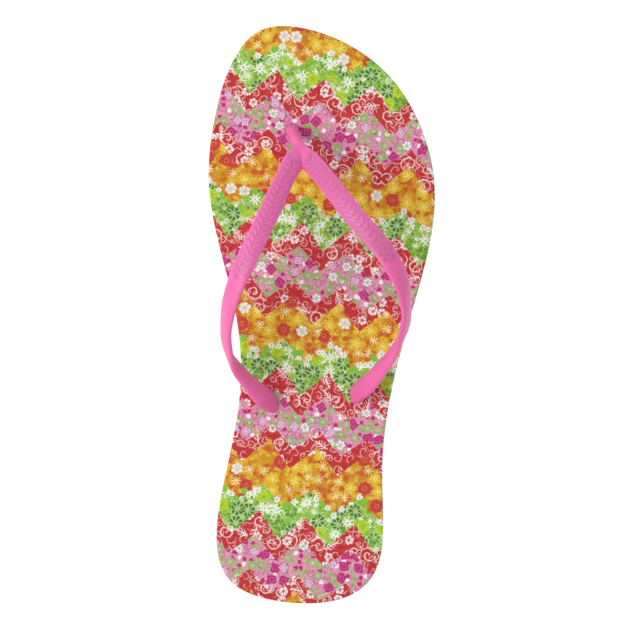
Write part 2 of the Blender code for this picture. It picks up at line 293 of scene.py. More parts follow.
def top(y):
    """Height of the footbed's upper face, mm."""
    share = np.clip(np.asarray(y) / LENGTH + 0.5, 0, 1)
    toe = np.maximum(0, (share - TOE_BREAK) / (1 - TOE_BREAK))
    return spline(*THICKNESS.T, share) + TOE_SPRING * toe**2


print("outline", LENGTH, "mm long, forefoot", [round(x, 1) for x in edges_at(60.0)])

# %% [markdown]
# ## Footbed and outsole as slabs
# Both layers are cut from foam along the sole's outline. A slab is a stack of loops, each
# a little inset or raised, so a rounded edge is simply a quarter circle of loops. Rows
# across close the top and the bottom, and their points can sink where the strap's feet
# press into the foam.


# %% Helpers for slabs
def finish_mesh(name, bm, *finishes):
    """Turn a bmesh in mm into a smooth-shaded object in metres that faces outwards."""
    bmesh.ops.scale(bm, vec=(MM, MM, MM), verts=bm.verts)
    bmesh.ops.recalc_face_normals(bm, faces=bm.faces)
    mesh = bpy.data.meshes.new(name)
    bm.to_mesh(mesh)
    bm.free()
    for finish in finishes:
        mesh.materials.append(finish)
    mesh.shade_smooth()
    made = bpy.data.objects.new(name, mesh)
    bpy.context.collection.objects.link(made)
    return made


def skin(bm, rings, closed_ends=False):
    """Skin a tube through rings of equally many points. Returns its loops of vertices."""
    loops = [[bm.verts.new(point) for point in ring] for ring in rings]
    count = len(loops[0])
    for low, high in zip(loops, loops[1:]):
        for i in range(count):
            j = (i + 1) % count
            bm.faces.new((low[i], low[j], high[j], high[i]))
    if closed_ends:
        bm.faces.new(loops[0])
        bm.faces.new(loops[-1])
    return loops


def cap_across(bm, loop, height, columns):
    """Close a loop of the outline with rows from its outer to its inner edge."""
    half = len(loop) // 2
    rows = [[loop[0]]]
    for i in range(1, half):
        x = np.linspace(loop[i].co.x, loop[-i].co.x, columns + 1)
        y = np.linspace(loop[i].co.y, loop[-i].co.y, columns + 1)
        z = height(x, y)
        middle = [bm.verts.new((x[k], y[k], z[k])) for k in range(1, columns)]
        rows.append([loop[i], *middle, loop[-i]])
    rows.append([loop[half]])
    faces = []
    for near, far in zip(rows, rows[1:]):
        for k in range(columns):
            face = [near[min(k, len(near) - 1)], near[min(k + 1, len(near) - 1)],
                    far[min(k + 1, len(far) - 1)], far[min(k, len(far) - 1)]]
            faces.append(bm.faces.new(list(dict.fromkeys(face))))
    return faces


def slab(levels, columns_below, columns_above):
    """Loops from bottom to top with both ends closed. A level is an inset and a height."""
    bm = bmesh.new()
    rings = []
    for inset, height in levels:
        loop = inset_loop(inset)
        rings.append(np.column_stack([loop, height(loop[:, 0], loop[:, 1])]))
    loops = skin(bm, rings)
    cap_across(bm, loops[0], levels[0][1], columns_below)
    cap_across(bm, loops[-1], levels[-1][1], columns_above)
    return bm


def rounded(radius, height, upwards, steps=6):
    """Levels of a quarter-round edge that ends at, or starts from, a height rule."""
    levels = []
    for k in range(steps + 1):
        turn = math.pi / 2 * k / steps
        inset, drop = radius * (1 - math.cos(turn)), radius * (1 - math.sin(turn))
        side = -1 if upwards else 1
        levels.append((inset, lambda x, y, shift=side * drop: height(x, y) + shift))
    return levels if upwards else levels[::-1]


def cut(target, tool):
    """Subtract one mesh from another and drop the tool."""
    step = target.modifiers.new("cut", "BOOLEAN")
    step.operation = "DIFFERENCE"
    step.object = tool
    bake(target)
    bpy.data.objects.remove(tool, do_unlink=True)


def bake(target):
    """Turn an object's modifiers into a plain mesh."""
    evaluated = target.evaluated_get(bpy.context.evaluated_depsgraph_get())
    mesh = bpy.data.meshes.new_from_object(evaluated)
    target.modifiers.clear()
    target.data = mesh
    mesh.name = target.name


# %% [markdown]
# ## The strap's holes
# Three stems hold the strap. Each runs down through footbed and outsole and ends in a disc
# that sits in a pocket of the underside. Where a stem's foot presses on the footbed, the
# foam gives way a little, which draws a soft shadow around it.

# %% Holes and the footbed's dents
TOE_HOLE = (-13.2, 81.3)
INNER_HOLE = (-22.4, -38.6)
OUTER_HOLE = (15.3, -34.6)
HOLES = (TOE_HOLE, INNER_HOLE, OUTER_HOLE)
STEM_RADIUS, HOLE_RADIUS = 3.2, 3.3
PLUG_RADIUS, PLUG_THICKNESS, PLUG_CHAMFER = 8.0, 2.6, 0.4
PLUG_CLEARANCE, PLUG_RECESS = 0.5, 4.4
PLUG_FLOOR = PLUG_RECESS - GAP - PLUG_THICKNESS
CUT_PAST = 2.0
DENT_DEPTH = 0.45
DENT_RADIUS = 9.0


def dented_top(x, y):
    """The footbed's face with a shallow dent around each hole."""
    x, y = np.asarray(x), np.asarray(y)
    dent = 0
    for hole_x, hole_y in HOLES:
        away = np.hypot(x - hole_x, y - hole_y) / DENT_RADIUS
        dent = dent + np.cos(np.clip(away, 0, 1) * math.pi / 2)**2
    return top(y) - DENT_DEPTH * dent


def turned(bm, profile, centre, sides=48):
    """Add a turned solid from radii and heights, in mm, and return the mesh it joined."""
    turns = np.arange(sides) * 2 * math.pi / sides
    rings = [np.column_stack([centre[0] + r * np.cos(turns), centre[1] + r * np.sin(turns),
                              np.full(sides, float(z))]) for r, z in profile]
    skin(bm, rings, closed_ends=True)
    return bm


print("holes at", HOLES)


# %% [markdown]
# ## The printed footbed
# The footbed is a 4 mm foam sheet with a printed cloth face. The print wraps over the
# rounded edge, and the cut foam shows below it on the side.

# %% Footbed
COLUMNS_BELOW, COLUMNS_ABOVE = 8, 64
DOWNWARD = -0.1              # a face whose normal lies lower than this looks down
FOOTBED_CREASE = math.radians(40)


def footbed_base(x, y):
    """Height of the footbed's underside."""
    return top(y) - FOOTBED_THICKNESS


def make_footbed(print_finish, foam_finish):
    """The foam sheet with its dents and holes, printed on top and plain on the side."""
    levels = [(SEAM_CHAMFER, footbed_base),
              (0.0, lambda x, y: footbed_base(x, y) + SEAM_CHAMFER)]
    levels += rounded(EDGE_ROUND, lambda x, y: top(y), upwards=True)
    levels[-1] = (EDGE_ROUND, dented_top)
    made = finish_mesh("footbed_print", slab(levels, COLUMNS_BELOW, COLUMNS_ABOVE),
                       print_finish, foam_finish)
    for hole in HOLES:
        profile = ((HOLE_RADIUS, 0.0), (HOLE_RADIUS, top(hole[1]) + CUT_PAST))
        cut(made, finish_mesh("drill", turned(bmesh.new(), profile, hole), foam_finish))
    for face in made.data.polygons:
        below_print = face.center.z / MM < top(face.center.y / MM) - EDGE_ROUND
        face.material_index = 1 if below_print or face.normal.z < DOWNWARD else 0
    made.data.set_sharp_from_angle(angle=FOOTBED_CREASE)
    return made


# %% [markdown]
# ## The outsole and its tread
# The outsole is a moulded rubber slab with zigzag grooves under heel and forefoot. A
# groove follows a bent line, so a node tree sweeps a small box along each line, and the
# bars that it makes are cut from the slab. Fine lines between the grooves come from the
# same tree with smaller sizes.

# %% Node tree for grooves
groove_tree, into = new_group("groove_bars", "GeometryNodeTree", {
    "Lines": (GEOMETRY, None),
    "Width": (FLOAT, 2.2 * MM),
    "Height": (FLOAT, 4.0 * MM),
    "Finish": (MATERIAL, None),
}, {"Bars": GEOMETRY})
lines = add(groove_tree, "GeometryNodeMeshToCurve", {"Mesh": into["Lines"]})
upright = add(groove_tree, "GeometryNodeSetCurveNormal", {"Curve": lines}, mode="Z_UP")
box = add(groove_tree, "GeometryNodeCurvePrimitiveQuadrilateral",
          {"Width": into["Width"], "Height": into["Height"]})
bars = add(groove_tree, "GeometryNodeCurveToMesh",
           {"Curve": upright, "Profile Curve": box, "Fill Caps": True})
real = add(groove_tree, "GeometryNodeRealizeInstances", {"Geometry": bars})
finished = add(groove_tree, "GeometryNodeSetMaterial",
               {"Geometry": real, "Material": into["Finish"]})
add(groove_tree, "NodeGroupOutput", {"Bars": finished})


def grow(host, tree, values):
    """Run a node tree on an object with named values, and keep the result as its mesh."""
    step = host.modifiers.new(tree.name, "NODES")
    step.node_group = tree
    for item in tree.interface.items_tree:
        if item.name in values:
            step[item.identifier] = values[item.name]
    bake(host)
    print(tree.name, "made", len(host.data.polygons), "faces")
    return host


# %% Groove lines
TREAD_BORDER = 7.0
TREAD_FIELDS = ((0.055, 0.285, 7), (0.545, 0.945, 12))   # start, end, grooves
TREAD_WAVE = 2.2
TREAD_TOOTH = 11.0
GROOVE = {"width": 2.2, "depth": 1.2, "offset": 0.0}
FINE_LINE = {"width": 0.7, "depth": 0.45, "offset": 0.5}


def groove_spans(y):
    """Stretches of a groove at y that keep clear of the rim and of the plug pockets."""
    inner, outer = edges_at(y)
    spans = [(inner + TREAD_BORDER, outer - TREAD_BORDER)]
    reach = PLUG_RADIUS + TREAD_WAVE + GROOVE["width"]
    for x, y_hole in HOLES:
        if abs(y - y_hole) < reach:
            spans = [part for low, high in spans
                     for part in ((low, min(high, x - reach)), (max(low, x + reach), high))]
    return [(low, high) for low, high in spans if high - low > TREAD_TOOTH]


def groove_cutter(width, depth, offset, finish):
    """Bars along all zigzag lines of both tread fields."""
    bm = bmesh.new()
    for start, end, count in TREAD_FIELDS:
        rows = count if offset == 0 else count - 1
        for i in range(rows):
            y_middle = LENGTH * (start + (end - start) * (i + offset) / (count - 1) - 0.5)
            for low, high in groove_spans(y_middle):
                teeth = max(1, round((high - low) / TREAD_TOOTH))
                line = []
                for k in range(teeth + 1):
                    y = y_middle + TREAD_WAVE * (1 if k % 2 else -1)
                    z = float(ground(y)) + depth - CUT_PAST
                    line.append(bm.verts.new((low + (high - low) * k / teeth, y, z)))
                for a, b in zip(line, line[1:]):
                    bm.edges.new((a, b))
    guide = finish_mesh("groove_lines", bm)
    return grow(guide, groove_tree, {"Width": width * MM, "Height": 2 * CUT_PAST * MM,
                                     "Finish": finish})


# %% Outsole
OUTSOLE_CREASE = math.radians(35)


def seam(x, y):
    """Height of the face that the footbed lies on."""
    return top(y) - FOOTBED_THICKNESS - GAP


def make_outsole(finish):
    """The rubber slab with its pockets, holes and tread."""
    levels = rounded(EDGE_ROUND, lambda x, y: ground(y), upwards=False)
    levels += [(0.0, lambda x, y: seam(x, y) - SEAM_CHAMFER), (SEAM_CHAMFER, seam)]
    made = finish_mesh("outsole_rubber", slab(levels, 1, 1), finish)
    pocket = PLUG_RADIUS + PLUG_CLEARANCE
    for hole in HOLES:
        low = float(ground(hole[1]))
        profile = ((pocket, low - CUT_PAST), (pocket, low + PLUG_RECESS),
                   (HOLE_RADIUS, low + PLUG_RECESS), (HOLE_RADIUS, top(hole[1]) + CUT_PAST))
        cut(made, finish_mesh("pocket", turned(bmesh.new(), profile, hole), finish))
    for size in (GROOVE, FINE_LINE):
        cut(made, groove_cutter(finish=finish, **size))
    made.data.set_sharp_from_angle(angle=OUTSOLE_CREASE)
    return made


# %% [markdown]
# ## The strap
# The thong is injection moulded in one piece: a round toe post, a Y joint and two flat,
# slightly crowned arms that rise over the foot, twist past their edge and come down to
# their feet. Each arm is swept from a short table of middle points, and its outer face has
# a shallow panel between two smooth rims. All parts are then fused by a fine voxel grid,
# which also leaves the small soft fillets that a mould has. The tables are those of the
# solid, except that the inner arm beside the instep lies up to 0.7 mm nearer the middle
# and rolls up to 8 degrees less, and that the stems fill their holes more closely.

# %% The strap's tables
INNER_ARM = (
    # x       y      rise   width  thick  roll
    (-11.2,   76.4,  14.6,   4.4,   4.4,    0),
    (-10.2,   73.3,  18.6,   5.4,   4.4,   -2),
    (-11.3,   69.4,  21.8,   8.3,   4.0,   -4),
    (-14.7,   62.9,  27.3,   9.1,   4.0,   -5),
    (-21.1,   48.8,  36.8,   9.2,   4.0,   -3),
    (-27.7,   34.6,  41.4,   9.3,   4.0,    7),
    (-34.4,   20.6,  41.2,   9.3,   3.8,   24),
    (-37.4,   13.5,  39.4,   9.4,   3.6,   34),
    (-39.9,    6.4,  36.7,   9.6,   3.4,   45),
    (-41.4,   -0.7,  33.3,   9.7,   3.4,   56),
    (-42.1,   -7.7,  29.4,   9.8,   3.4,   67),
    (-41.4,  -14.8,  24.9,   9.9,   3.4,   76),
    (-38.6,  -22.0,  19.7,  10.1,   3.6,  108),
    (-32.9,  -29.3,  13.4,  10.3,   4.3,  122),
    (-27.2,  -35.3,   7.3,  10.5,   5.4,  137),
)
OUTER_ARM = (
    # x       y      rise   width  thick  roll
    (-11.2,   76.6,  14.6,   4.4,   4.4,    0),
    (-9.7,    73.4,  18.6,   5.4,   4.4,   -3),
    (-7.1,    69.4,  21.8,   8.4,   4.0,   -9),
    (-1.3,    62.8,  27.2,   9.4,   4.0,  -13),
    (9.7,     48.6,  36.4,   9.4,   4.0,  -13),
    (21.4,    34.6,  40.6,   9.3,   4.0,   -2),
    (27.3,    27.5,  40.8,   9.3,   3.9,   12),
    (31.6,    20.5,  39.9,   9.3,   3.8,   29),
    (34.9,    13.5,  37.9,   9.4,   3.6,   45),
    (36.5,     6.4,  35.1,   9.5,   3.4,   61),
    (36.9,    -0.7,  31.6,   9.6,   3.4,   72),
    (35.5,    -7.8,  27.4,   9.7,   3.4,   76),
    (32.4,   -15.1,  22.3,   9.9,   3.6,  106),
    (27.2,   -22.6,  16.1,  10.1,   4.2,  118),
    (20.3,   -30.6,   8.9,  10.4,   4.9,  134),
)
ARMS = ((INNER_ARM, INNER_HOLE, -1), (OUTER_ARM, OUTER_HOLE, 1))
POST_PATH = (
    # back   rise   radius: back is the distance from the hole towards the heel
    (0.0,    0.4,   2.9),
    (0.1,    1.6,   2.8),
    (0.9,    5.5,   2.7),
    (2.9,   10.0,   2.6),
    (5.8,   14.0,   2.6),
    (8.6,   17.4,   2.6),
    (10.8,  19.4,   2.5),
    (12.4,  20.6,   2.0),
    (13.1,  21.1,   1.0),
)
ARM_RINGS, ARM_SIDES, POST_SIDES = 180, 56, 40
ARM_SQUARENESS = 0.38                   # 1 is an ellipse, lower is a squarer band
ARM_CROWN = 0.5                         # how much thinner a band is along its edges
FOOT_SQUARENESS = (0.78, 0.88, 0.95)    # the last two rows of an arm, and its foot
FOOT_WIDTH, FOOT_THICKNESS, FOOT_RUN, FOOT_ROUND = 9.8, 6.8, 8.0, 1.2
FOOT_LEVELS = ((1.0, 1.0), (0.4, 0.98), (0.0, 0.92))    # share of the round's height, and size
STEM_HEAD = 0.3

# Panel on the outer face, with distances along the arm from its start in the post.
PANEL_RIM = 1.0              # smooth rim on both sides
PANEL_RAMP = 0.5             # width over which it sinks beside the rim
PANEL_DEPTH = 0.16
PANEL_START = (12.0, 15.5)   # where it starts and where it reaches its full depth
PANEL_END = (54.0, 80.0)     # where it starts to fade and where it has gone


def ease(value):
    """Smooth step from 0 to 1."""
    value = np.clip(value, 0, 1)
    return value * value * (3 - 2 * value)


def panel_share(run):
    """How deep the panel is at a distance along the arm, from 0 to 1."""
    rising = ease((run - PANEL_START[0]) / (PANEL_START[1] - PANEL_START[0]))
    return rising * (1 - ease((run - PANEL_END[0]) / (PANEL_END[1] - PANEL_END[0])))


def arm_frames(rows, hole, outward, stations=None):
    """Frames along an arm: run, middle, tangent, face way, width, thickness, squareness."""
    table = [(x, y, top(y) + rise, width, thick, roll) for x, y, rise, width, thick, roll in rows]
    table.append((*hole, top(hole[1]), FOOT_WIDTH, FOOT_THICKNESS, rows[-1][-1]))
    squareness = [ARM_SQUARENESS] * (len(rows) - 2) + list(FOOT_SQUARENESS)
    table = np.column_stack([np.array(table, float), squareness])
    knots = np.concatenate([[0], np.cumsum(np.linalg.norm(np.diff(table[:, :3], axis=0), axis=1))])
    if stations is None:
        stations = np.linspace(0, knots[-1] - FOOT_RUN, ARM_RINGS)
    columns = [spline(knots, column, stations) for column in table.T]
    step = 0.05
    ahead = np.stack([spline(knots, column, stations + step) for column in table.T[:3]], axis=1)
    behind = np.stack([spline(knots, column, stations - step) for column in table.T[:3]], axis=1)
    frames = []
    for run, x, y, z, width, thick, roll, square, way in zip(stations, *columns,
                                                             ahead - behind):
        tangent = Vector(way).normalized()
        plan = Vector((tangent.x, tangent.y, 0)).normalized()
        out = plan.cross(Vector((0, 0, 1))) * -outward
        up = out.cross(tangent) * -outward
        turn = math.radians(roll)
        face = up * math.cos(turn) + out * math.sin(turn)
        frames.append((run, Vector((x, y, z)), tangent, face, width, thick, square))
    return frames


def half_thickness(across, width, thick, square):
    """Half of a band's thickness at a distance from its middle line."""
    share = np.abs(across) * 2 / width
    crown = ARM_CROWN * (1 - square) / (1 - ARM_SQUARENESS)
    box = np.sqrt(np.clip(1 - share**(2 / square), 0, 1))**square
    return thick / 2 * box * (1 - crown * share**2)


def band_ring(run, centre, tangent, face, width, thick, square):
    """A squarish oval with a shallow panel in its outer face."""
    turns = np.arange(ARM_SIDES) * 2 * math.pi / ARM_SIDES
    across = width / 2 * np.sign(np.cos(turns)) * np.abs(np.cos(turns))**square
    lift = np.sign(np.sin(turns)) * half_thickness(across, width, thick, square)
    flat = ease((width / 2 - PANEL_RIM - np.abs(across)) / PANEL_RAMP)
    lift -= np.where(lift > 0, PANEL_DEPTH * flat * panel_share(run), 0)
    return (np.array(centre) + np.outer(across, face.cross(tangent)) + np.outer(lift, face))


def foot_rings(last_ring, last_point, hole):
    """The arm's straight end, cut level with the footbed and slightly drawn in."""
    base = Vector((*hole, top(hole[1])))
    down = (base - Vector(last_point)).normalized()
    rings = []
    for height_share, size in FOOT_LEVELS:
        height = FOOT_ROUND * height_share
        ring = []
        for corner in last_ring:
            point = base + (Vector(corner) - Vector(last_point)) * size
            slide = (top(point.y) + height - point.z) / down.z
            point += down * slide
            point.z = top(point.y) + height
            ring.append(point)
        rings.append(ring)
    return rings


def post_rings():
    """The toe post, leaning back from its hole to the Y joint, with a round end."""
    hole = Vector((*TOE_HOLE, 0))
    back_way = (Vector((*INNER_ARM[0][:2], 0)) - hole).normalized()
    side = Vector((0, 0, 1)).cross(back_way)
    path = [hole + back_way * back + Vector((0, 0, top(TOE_HOLE[1]) + rise))
            for back, rise, _ in POST_PATH]
    rings = []
    for i, (point, row) in enumerate(zip(path, POST_PATH)):
        ahead, behind = path[min(i + 1, len(path) - 1)], path[max(i - 1, 0)]
        tangent = (ahead - behind).normalized() if i else Vector((0, 0, 1))
        front = side.cross(tangent)
        rings.append([point + side * row[2] * math.cos(turn) + front * row[2] * math.sin(turn)
                      for turn in (2 * math.pi * k / POST_SIDES for k in range(POST_SIDES))])
    return rings


# %% Strap
STRAP_VOXEL = 0.36
SMOOTHING_STEPS, SMOOTHING_SHARE = 8, 0.5


def make_strap(finish):
    """Arms, post, stems and plugs fused into one moulding."""
    bm = bmesh.new()
    skin(bm, post_rings(), closed_ends=True)
    for rows, hole, outward in ARMS:
        frames = arm_frames(rows, hole, outward)
        rings = [band_ring(*one) for one in frames]
        skin(bm, rings + foot_rings(rings[-1], frames[-1][1], hole), closed_ends=True)
    for hole in HOLES:
        low = float(ground(hole[1])) + PLUG_FLOOR
        profile = ((PLUG_RADIUS - PLUG_CHAMFER, low), (PLUG_RADIUS, low + PLUG_CHAMFER),
                   (PLUG_RADIUS, low + PLUG_THICKNESS), (STEM_RADIUS, low + PLUG_THICKNESS),
                   (STEM_RADIUS, top(hole[1]) + STEM_HEAD))
        turned(bm, profile, hole, POST_SIDES)
    made = finish_mesh("strap_rubber", bm, finish)
    fuse = made.modifiers.new("fuse", "REMESH")
    fuse.mode = "VOXEL"
    fuse.voxel_size = STRAP_VOXEL * MM
    fuse.use_smooth_shade = True
    soften = made.modifiers.new("soften", "SMOOTH")
    soften.factor = SMOOTHING_SHARE
    soften.iterations = SMOOTHING_STEPS
    bake(made)
    return made


# %% [markdown]
# ## The herringbone grain
# The panels carry two mirrored rows of slanted raised grains, like an ear of wheat. They
# repeat along the arm, so a node tree sets one small lozenge on each guide point, turned
# to the surface by vectors stored on the points.

# %% Node tree for the grain
grain_tree, into = new_group("herringbone_grain", "GeometryNodeTree", {
    "Points": (GEOMETRY, None),
    "Length": (FLOAT, 5.0 * MM),
    "Width": (FLOAT, 2.0 * MM),
    "Height": (FLOAT, 0.4 * MM),
    "Slant": (FLOAT, 0.8),
    "Finish": (MATERIAL, None),
}, {"Grains": GEOMETRY})
named = {}
for name, kind in (("face_way", "FLOAT_VECTOR"), ("run_way", "FLOAT_VECTOR"),
                   ("side", "FLOAT"), ("share", "FLOAT")):
    named[name] = add(grain_tree, "GeometryNodeInputNamedAttribute", {"Name": name},
                      data_type=kind)
lozenge = add(grain_tree, "GeometryNodeMeshUVSphere", {"Segments": 16, "Rings": 8, "Radius": 0.5})
sizes = add(grain_tree, "ShaderNodeCombineXYZ",
            {"X": into["Length"], "Y": into["Width"],
             "Z": add(grain_tree, MATH, {0: into["Height"], 1: 2.0}, operation="MULTIPLY")})
sized = add(grain_tree, "GeometryNodeTransform", {"Geometry": lozenge, "Scale": sizes})
stand = add(grain_tree, "FunctionNodeAlignRotationToVector", {"Vector": named["face_way"]},
            axis="Z")
along_arm = add(grain_tree, "FunctionNodeAlignRotationToVector",
                {"Rotation": stand, "Vector": named["run_way"]}, axis="X", pivot_axis="Z")
slant = add(grain_tree, MATH, {0: into["Slant"], 1: named["side"]}, operation="MULTIPLY")
turn = add(grain_tree, "FunctionNodeAxisAngleToRotation", {"Axis": (0, 0, 1), "Angle": slant})
turned_way = add(grain_tree, "FunctionNodeRotateRotation",
                 {"Rotation": along_arm, "Rotate By": turn}, rotation_space="LOCAL")
height = add(grain_tree, "ShaderNodeCombineXYZ", {"X": 1.0, "Y": 1.0, "Z": named["share"]})
placed = add(grain_tree, "GeometryNodeInstanceOnPoints",
             {"Points": into["Points"], "Instance": sized, "Rotation": turned_way,
              "Scale": height})
real = add(grain_tree, "GeometryNodeRealizeInstances", {"Geometry": placed})
smooth = add(grain_tree, "GeometryNodeSetShadeSmooth", {"Geometry": real})
finished = add(grain_tree, "GeometryNodeSetMaterial",
               {"Geometry": smooth, "Material": into["Finish"]})
add(grain_tree, "NodeGroupOutput", {"Grains": finished})

# %% Grain
GRAIN_PITCH = 2.85
GRAIN_SIZE = (5.0, 2.05, 0.38)     # length, width and height
GRAIN_SLANT = math.radians(-45)    # each pair closes towards the heel
GRAIN_RELIEF = {-1: 0.85, 1: 0.35}  # the outer arm's grain is worn shallower
GRAIN_ROW = 1.85             # each row's distance from the arm's middle line
GRAIN_SINK = 0.12            # how far a grain's middle plane lies under the panel
GRAIN_SPAN = (PANEL_START[1] - 2.0, PANEL_END[1] - 4.0)    # stretch of an arm that has grains
BESIDE = np.array((-0.5, 0, 0.5))    # mm, points across the band that give its slope


def make_grain(finish):
    """Two mirrored rows of grains along each arm's panel."""
    places, faces, runs, sides, shares = [], [], [], [], []
    for rows, hole, outward in ARMS:
        relief = GRAIN_RELIEF[outward]
        for run, middle, tangent, face, *section in arm_frames(
                rows, hole, outward, np.arange(*GRAIN_SPAN, GRAIN_PITCH)):
            for side in (-1, 1):
                across = GRAIN_ROW * side
                inner, lift, outer = half_thickness(across + BESIDE, *section)
                lift -= PANEL_DEPTH * panel_share(run) + GRAIN_SINK * relief
                width_way = face.cross(tangent)
                places.append((middle + width_way * across + face * lift) * MM)
                faces.append((face - width_way * (outer - inner)).normalized())
                runs.append(tangent)
                sides.append(side)
                shares.append(panel_share(run) * relief)
    mesh = bpy.data.meshes.new("strap_grain")
    mesh.from_pydata(places, [], [])
    for name, kind, key_name, values in (
            ("face_way", "FLOAT_VECTOR", "vector", np.ravel([tuple(v) for v in faces])),
            ("run_way", "FLOAT_VECTOR", "vector", np.ravel([tuple(v) for v in runs])),
            ("side", "FLOAT", "value", sides), ("share", "FLOAT", "value", shares)):
        mesh.attributes.new(name, kind, "POINT").data.foreach_set(key_name, values)
    made = bpy.data.objects.new("strap_grain", mesh)
    bpy.context.collection.objects.link(made)
    length, width, height = (size * MM for size in GRAIN_SIZE)
    return grow(made, grain_tree, {"Length": length, "Width": width, "Height": height,
                                   "Slant": GRAIN_SLANT, "Finish": finish})


# %% [markdown]
# ## Rubber finishes
# The strap is soft PVC with a satin skin: the mould's fine grain breaks up its highlight.
# The outsole is blown rubber, off-white and matt, with a finely pitted surface, and the
# footbed's side is cut foam. All three are a base colour that wanders a little and a fine
# relief, so two short functions serve them.

# %% Rubber and foam finishes
# Sizes are in mm. Pits and cells are drawn a little coarser than the real ones, to show.
PVC_CLOUDS, MOULD_GRAIN, LIGHT_REACH = 20.0, 0.35, 3.0
RUBBER_CLOUDS, PITS_PER_MM = 12.5, 1.4
FOAM_CELL = 0.4


def tint(tree, shader, pattern, first, second):
    """Let the base colour wander between two inks with a pattern."""
    mixed = add(tree, MIX, {0: pattern, COLOUR_A: linear(first), COLOUR_B: linear(second)},
                data_type="RGBA")
    tree.links.new(mixed.outputs[MIXED_COLOUR], shader.inputs["Base Color"])


def emboss(tree, shader, pattern, depth, strength=0.5):
    """Relief of a depth in mm that is too fine for the mesh."""
    bump = add(tree, "ShaderNodeBump",
               {"Height": pattern, "Distance": depth * MM, "Strength": strength})
    tree.links.new(bump.outputs[0], shader.inputs["Normal"])


def satin_pvc():
    """Moulded PVC: a soft broken sheen, and light that spreads a little under the skin."""
    made, tree, shader, place = new_material("satin_moulded_pvc", 0.42)
    clouds = add(tree, "ShaderNodeTexNoise",
                 {"Vector": place, "Scale": 1 / PVC_CLOUDS, "Detail": 2.0})
    tint(tree, shader, clouds, "E161A2", "E76CAC")
    blasted = add(tree, "ShaderNodeTexNoise",
                  {"Vector": place, "Scale": 1 / MOULD_GRAIN, "Detail": 1.0})
    emboss(tree, shader, blasted, 0.02)
    shader.inputs["Subsurface Weight"].default_value = 0.3
    shader.inputs["Subsurface Radius"].default_value = (1.0, 0.5, 0.7)
    shader.inputs["Subsurface Scale"].default_value = LIGHT_REACH * MM
    return made


def blown_rubber():
    """Blown rubber: chalky and dull, with faint clouds and open pits."""
    made, tree, shader, place = new_material("off_white_blown_rubber", 0.75)
    clouds = add(tree, "ShaderNodeTexNoise",
                 {"Vector": place, "Scale": 1 / RUBBER_CLOUDS, "Detail": 3.0})
    tint(tree, shader, clouds, "E3DFD7", "EFECE6")
    pits = add(tree, "ShaderNodeTexVoronoi", {"Vector": place, "Scale": PITS_PER_MM})
    emboss(tree, shader, pits, 0.08)
    return made


def cut_foam():
    """Sliced EVA foam: dead matt, with the open cells of the cut."""
    made, tree, shader, place = new_material("cut_eva_foam", 0.85)
    cells = add(tree, "ShaderNodeTexVoronoi", {"Vector": place, "Scale": 1 / FOAM_CELL})
    tint(tree, shader, cells, "E6E2DB", "F2EFEA")
    emboss(tree, shader, cells, 0.05, 0.6)
    return made


# %% [markdown]
# ## The print
# The footbed's cloth is printed with slanting zigzag bands in four bright colours, and
# each band is filled with small blossoms, rings, squares or curls. Every motif is drawn
# by a rule, not from a picture: the plane is divided into irregular cells, and each cell
# draws one motif around its own middle from the distance and the angle to it.

# %% Cells of the print
cell_tree, into = new_group("print_cell", "ShaderNodeTree", {
    "Place": (VECTOR, None),
    "Spacing": (FLOAT, 8.0),
    "Shift": (FLOAT, 0.0),
    "Spread": (FLOAT, 0.6),
}, {"Across": FLOAT, "Along": FLOAT, "Radius": FLOAT, "Angle": FLOAT,
    "Middle": VECTOR, "Chance": FLOAT})
shift = add(cell_tree, "ShaderNodeCombineXYZ", {"X": into["Shift"], "Y": into["Shift"]})
moved = add(cell_tree, "ShaderNodeVectorMath", {0: into["Place"], 1: shift}, operation="ADD")
scale = add(cell_tree, MATH, {0: 1.0, 1: into["Spacing"]}, operation="DIVIDE")
cells = add(cell_tree, "ShaderNodeTexVoronoi",
            {"Vector": moved, "Scale": scale, "Randomness": into["Spread"]},
            voronoi_dimensions="2D")
local = add(cell_tree, "ShaderNodeVectorMath", {0: moved, 1: cells.outputs["Position"]},
            operation="SUBTRACT")
draws = add(cell_tree, "ShaderNodeSeparateColor", {0: cells.outputs["Color"]})
turn = add(cell_tree, MATH, {0: draws.outputs[0], 1: 2 * math.pi}, operation="MULTIPLY")
turned_cell = add(cell_tree, "ShaderNodeVectorRotate", {"Vector": local, "Angle": turn},
                  rotation_type="Z_AXIS")
parts = add(cell_tree, "ShaderNodeSeparateXYZ", {0: turned_cell})
radius = add(cell_tree, "ShaderNodeVectorMath", {0: local}, operation="LENGTH")
angle = add(cell_tree, MATH, {0: parts.outputs["Y"], 1: parts.outputs["X"]}, operation="ARCTAN2")
middle = add(cell_tree, "ShaderNodeVectorMath", {0: cells.outputs["Position"], 1: shift},
             operation="SUBTRACT")
add(cell_tree, "NodeGroupOutput",
    {"Across": parts.outputs["X"], "Along": parts.outputs["Y"],
     "Radius": radius.outputs["Value"], "Angle": angle, "Middle": middle,
     "Chance": draws.outputs[1]})

# %% [markdown]
# Each motif is a group with the same sockets, so a table can choose among them. It works
# out how far a point lies inside the drawn line or face, in mm, and the mask is 1 inside
# and 0 outside with a narrow soft edge, as ink has on cloth.

# %% Motifs
INK_EDGE = 0.3               # mm over which an edge fades
ROUND_PETAL, NARROW_RAY = 0.6, 4.0      # powers that make a petal round or narrow
PETAL_TIP = 0.22             # how far a parted petal's tip rounds off, as a share
LEAF_SLANT, LEAF_TAPER = 0.9, 0.6


